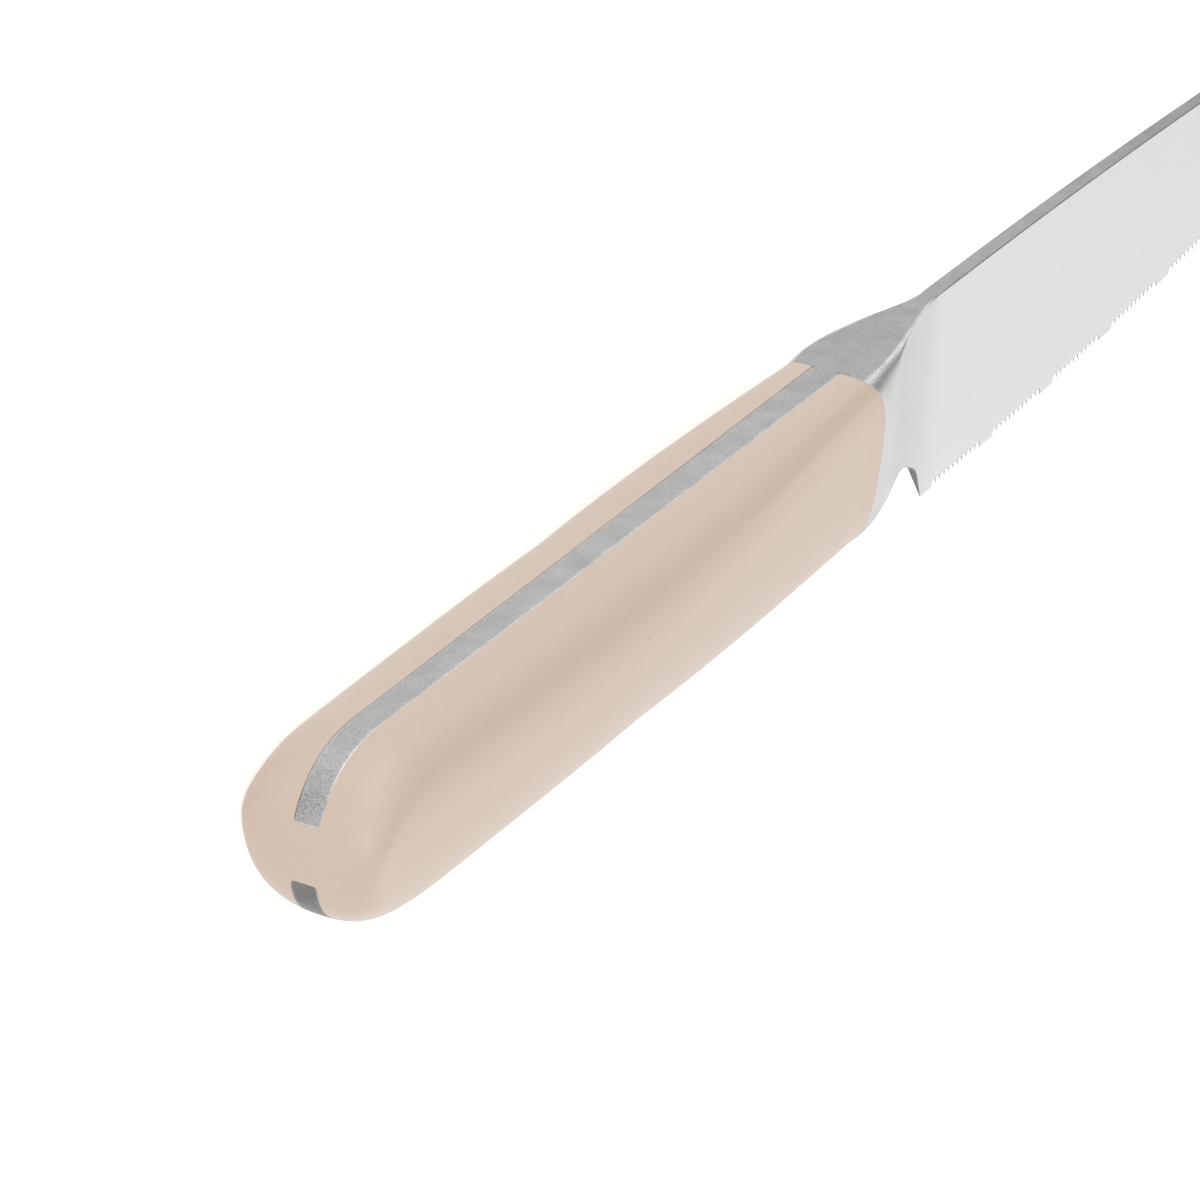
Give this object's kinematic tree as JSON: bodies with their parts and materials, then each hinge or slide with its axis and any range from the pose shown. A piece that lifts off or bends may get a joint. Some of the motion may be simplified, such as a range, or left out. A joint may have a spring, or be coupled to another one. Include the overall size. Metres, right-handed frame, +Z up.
{
  "type": "serrated utility knife",
  "caption": "Fixed-blade kitchen knife with a serrated pointed blade, a forged bolster and full tang, and a moulded beige grip.",
  "frame": {"origin": "centre of the knife's length and depth, at the lowest point of the grip's left side, which it lies on", "axes": "+X from the butt to the tip, +Y from the edge to the spine, +Z up through the thickness, towards the knife's right side"},
  "size_m": [0.2596, 0.0238, 0.0169],
  "materials": {
    "steel": "satin: fine vertical grain on the blade's flats, lengthwise grain on the spine and bolster, coarser and greyer on the exposed tang",
    "grip": "matte beige moulding with a faint mottle",
    "core": "plain matte, hidden inside the grip"
  },
  "bodies": {
    "root": {"blade_forging": "steel", "grip_skin": "grip", "core_left": "core", "core_right": "core"}
  },
  "joints": []
}
